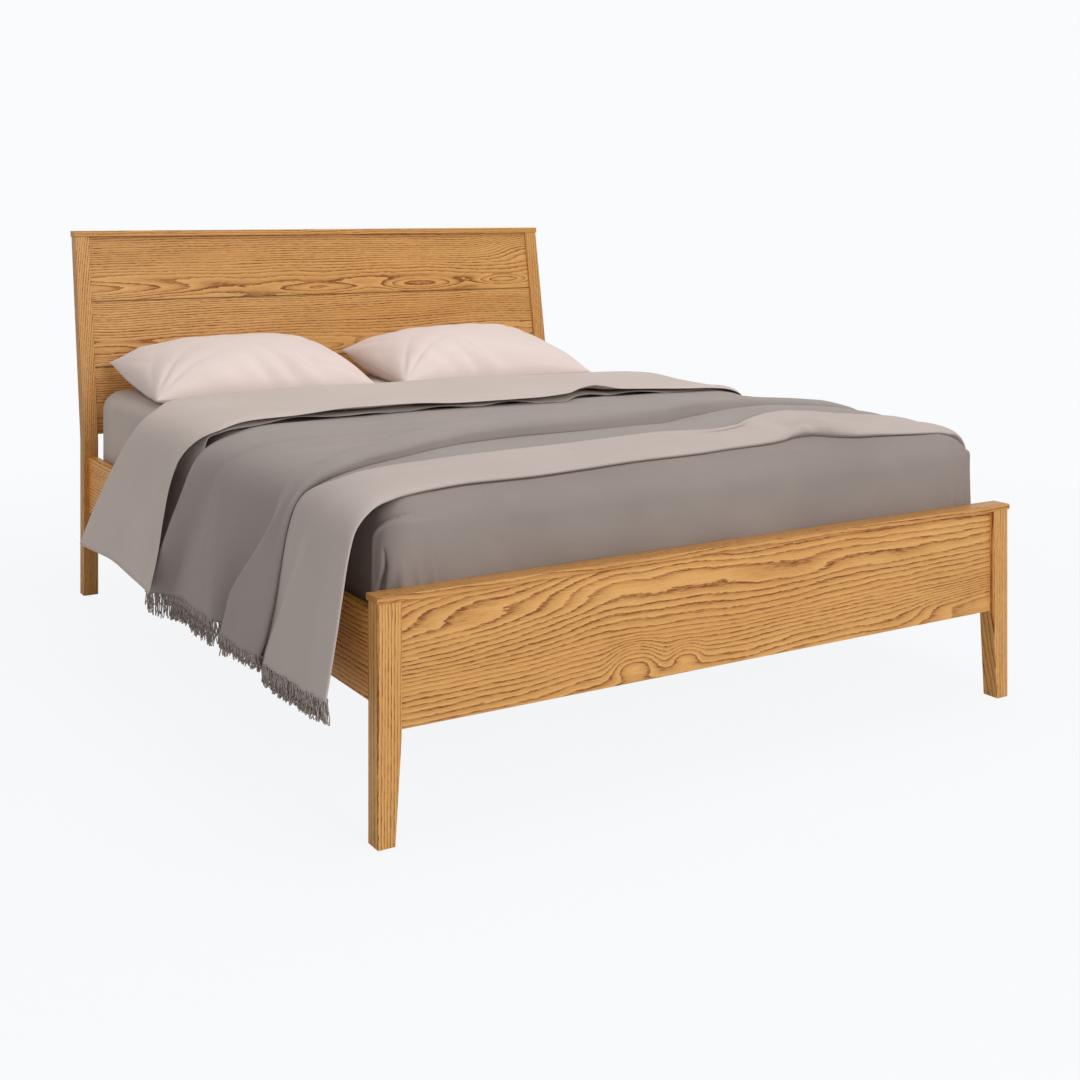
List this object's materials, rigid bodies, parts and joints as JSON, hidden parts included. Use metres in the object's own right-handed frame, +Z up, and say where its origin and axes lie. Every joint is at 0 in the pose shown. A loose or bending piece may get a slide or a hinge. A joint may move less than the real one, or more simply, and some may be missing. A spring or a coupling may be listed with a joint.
{
  "type": "panel bed",
  "caption": "Oak panel bed with raked plank headboard, low footboard, slatted base, mattress, two pillows, turned-back sheet and fringed throw.",
  "frame": {"origin": "on the floor, under the centre of the whole bed's box", "axes": "+X to the right seen from the foot end, +Y from the foot end to the head end, +Z up"},
  "size_m": [1.87, 2.2348, 1.098],
  "materials": {
    "oak": "natural oak, satin clear coat",
    "pine": "planed softwood, unfinished",
    "beech": "fluted hardwood dowel",
    "zinc_steel": "bright zinc plate",
    "nylon": "matte nylon",
    "webbing": "woven cotton tape",
    "mattress_ticking": "knitted ticking",
    "fitted_sheet_cotton": "plain cotton, warm grey",
    "pillow_cotton": "smooth cotton, pale blush",
    "top_sheet_cotton": "plain cotton, light warm grey",
    "throw_wool": "soft wool twill, taupe"
  },
  "bodies": {
    "bed_frame": {"beam_hanger_foot": "zinc_steel", "beam_hanger_head": "zinc_steel", "centre_beam": "pine", "centre_leg_bolts": "zinc_steel", "centre_leg_foot": "pine", "centre_leg_head": "pine", "floor_glides": "nylon", "foot_cap_dowels": "beech", "foot_cap_rail": "oak", "foot_leg_left": "oak", "foot_leg_right": "oak", "foot_panel": "oak", "hanger_screws": "zinc_steel", "head_cap_dowels": "beech", "head_cap_rail": "oak", "head_cross_rail": "oak", "head_plank_lower": "oak", "head_plank_middle": "oak", "head_plank_upper": "oak", "head_post_left": "oak", "head_post_right": "oak", "ledger_screws": "zinc_steel", "rail_catch_plates": "zinc_steel", "rail_fitting_screws": "zinc_steel", "rail_hook_plates": "zinc_steel", "side_rail_left": "oak", "side_rail_right": "oak", "slat_01": "pine", "slat_02": "pine", "slat_03": "pine", "slat_04": "pine", "slat_05": "pine", "slat_06": "pine", "slat_07": "pine", "slat_08": "pine", "slat_09": "pine", "slat_10": "pine", "slat_11": "pine", "slat_12": "pine", "slat_13": "pine", "slat_14": "pine", "slat_15": "pine", "slat_ledger_left": "pine", "slat_ledger_right": "pine", "slat_screws": "zinc_steel", "slat_tape_left": "webbing", "slat_tape_right": "webbing"},
    "mattress_set": {"mattress": "mattress_ticking", "fitted_sheet": "fitted_sheet_cotton", "top_sheet": "top_sheet_cotton", "throw_blanket": "throw_wool", "throw_fringe": "throw_wool"},
    "left_pillow": {"pillow_left": "pillow_cotton"},
    "right_pillow": {"pillow_right": "pillow_cotton"}
  },
  "joints": [
    {"name": "mattress_lift", "type": "slide", "parent": "bed_frame", "child": "mattress_set", "axis": [0, 0, 1], "range_m": [0, 0.35]},
    {"name": "left_pillow_lift", "type": "slide", "parent": "mattress_set", "child": "left_pillow", "axis": [0, 0, 1], "range_m": [0, 0.3]},
    {"name": "right_pillow_lift", "type": "slide", "parent": "mattress_set", "child": "right_pillow", "axis": [0, 0, 1], "range_m": [0, 0.3]}
  ]
}
